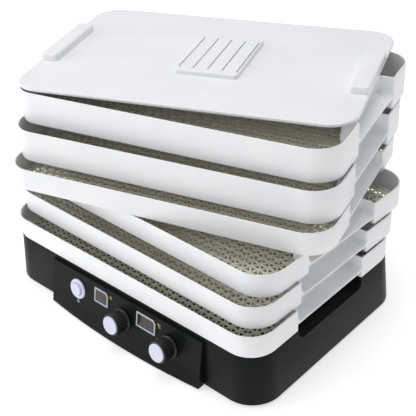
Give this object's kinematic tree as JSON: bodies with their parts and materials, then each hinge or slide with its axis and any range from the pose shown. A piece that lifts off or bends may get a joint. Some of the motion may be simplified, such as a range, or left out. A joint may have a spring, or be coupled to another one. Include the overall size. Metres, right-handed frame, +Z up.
{
  "type": "food dehydrator",
  "caption": "Table-top food dehydrator with a charcoal fan-heater base, white stacking trays fanned out above it and a vented lid.",
  "frame": {"origin": "bottom centre of the whole object's box, on the plane the feet stand on", "axes": "+X to the user's right along the base's long side, +Y away from the user, +Z up; the control panel faces -Y"},
  "size_m": [0.5192, 0.4702, 0.2953],
  "materials": {
    "white_plastic": "white moulded plastic, fine satin",
    "mesh_plastic": "off-white moulded lattice",
    "black_plastic": "charcoal moulded plastic, fine grain",
    "dark_plastic": "black moulded plastic",
    "lavender_plastic": "pale lavender plastic, satin gloss",
    "bezel_plastic": "light grey plastic bezel",
    "smoked_lens": "smoked display window",
    "rubber": "black rubber",
    "steel": "plain steel",
    "heater_steel": "heat-tinted steel tube",
    "mica": "mica board",
    "circuit_board": "green solder-masked board"
  },
  "bodies": {
    "base": {"base_housing": "black_plastic", "bottom_cover": "dark_plastic", "foot_1": "rubber", "foot_2": "rubber", "foot_3": "rubber", "foot_4": "rubber", "cover_screw_1": "steel", "cover_screw_2": "steel", "cover_screw_3": "steel", "cover_screw_4": "steel", "fan_motor": "steel", "fan_shroud": "dark_plastic", "heater_support": "mica", "heater_coil": "heater_steel", "thermostat": "steel", "deck_grille": "black_plastic", "power_inlet": "dark_plastic", "control_panel": "black_plastic", "power_button_ring": "lavender_plastic", "power_switch": "dark_plastic", "display_frame_1": "bezel_plastic", "display_lens_1": "smoked_lens", "display_module_1": "dark_plastic", "display_frame_2": "bezel_plastic", "display_lens_2": "smoked_lens", "display_module_2": "dark_plastic", "knob_encoder_1": "dark_plastic", "knob_encoder_2": "dark_plastic", "control_board": "circuit_board"},
    "fan_rotor": {"fan_impeller": "dark_plastic", "motor_shaft": "steel"},
    "power_button": {"power_button": "lavender_plastic"},
    "knob_1": {"knob_1": "dark_plastic", "knob_cap_1": "lavender_plastic", "knob_shaft_1": "steel"},
    "knob_2": {"knob_2": "dark_plastic", "knob_cap_2": "lavender_plastic", "knob_shaft_2": "steel"},
    "tray_6": {"tray_6_frame": "white_plastic", "tray_6_mesh": "mesh_plastic"},
    "tray_5": {"tray_5_frame": "white_plastic", "tray_5_mesh": "mesh_plastic"},
    "tray_4": {"tray_4_frame": "white_plastic", "tray_4_mesh": "mesh_plastic"},
    "tray_3": {"tray_3_frame": "white_plastic", "tray_3_mesh": "mesh_plastic"},
    "tray_2": {"tray_2_frame": "white_plastic", "tray_2_mesh": "mesh_plastic"},
    "tray_1": {"tray_1_frame": "white_plastic", "tray_1_mesh": "mesh_plastic"},
    "lid": {"lid": "white_plastic"}
  },
  "joints": [
    {"name": "fan_spin", "type": "hinge", "parent": "base", "child": "fan_rotor", "pos_m": [0.0313, -0.05863, 0.04], "axis": [0, 0, 1], "continuous": true},
    {"name": "power_button_press", "type": "slide", "parent": "base", "child": "power_button", "axis": [0, 0.9835, -0.1809], "range_m": [0, 0.0025], "stiffness_N_per_m": 300},
    {"name": "knob_1_turn", "type": "hinge", "parent": "base", "child": "knob_1", "pos_m": [0.0421, -0.21098, 0.03664], "axis": [0, -0.9835, 0.1809], "range_deg": [-150, 150]},
    {"name": "knob_2_turn", "type": "hinge", "parent": "base", "child": "knob_2", "pos_m": [0.1225, -0.21085, 0.03732], "axis": [0, -0.9835, 0.1809], "range_deg": [-150, 150]},
    {"name": "tray_6_lift", "type": "slide", "parent": "base", "child": "tray_6", "axis": [0, 0, 1], "range_m": [0, 0.06]},
    {"name": "tray_5_lift", "type": "slide", "parent": "tray_6", "child": "tray_5", "axis": [0, 0, 1], "range_m": [0, 0.06]},
    {"name": "tray_4_lift", "type": "slide", "parent": "tray_5", "child": "tray_4", "axis": [0, 0, 1], "range_m": [0, 0.06]},
    {"name": "tray_3_lift", "type": "slide", "parent": "tray_4", "child": "tray_3", "axis": [0, 0, 1], "range_m": [0, 0.06]},
    {"name": "tray_2_lift", "type": "slide", "parent": "tray_3", "child": "tray_2", "axis": [0, 0, 1], "range_m": [0, 0.06]},
    {"name": "tray_1_lift", "type": "slide", "parent": "tray_2", "child": "tray_1", "axis": [0, 0, 1], "range_m": [0, 0.06]},
    {"name": "lid_lift", "type": "slide", "parent": "tray_1", "child": "lid", "axis": [0, 0, 1], "range_m": [0, 0.06]}
  ]
}
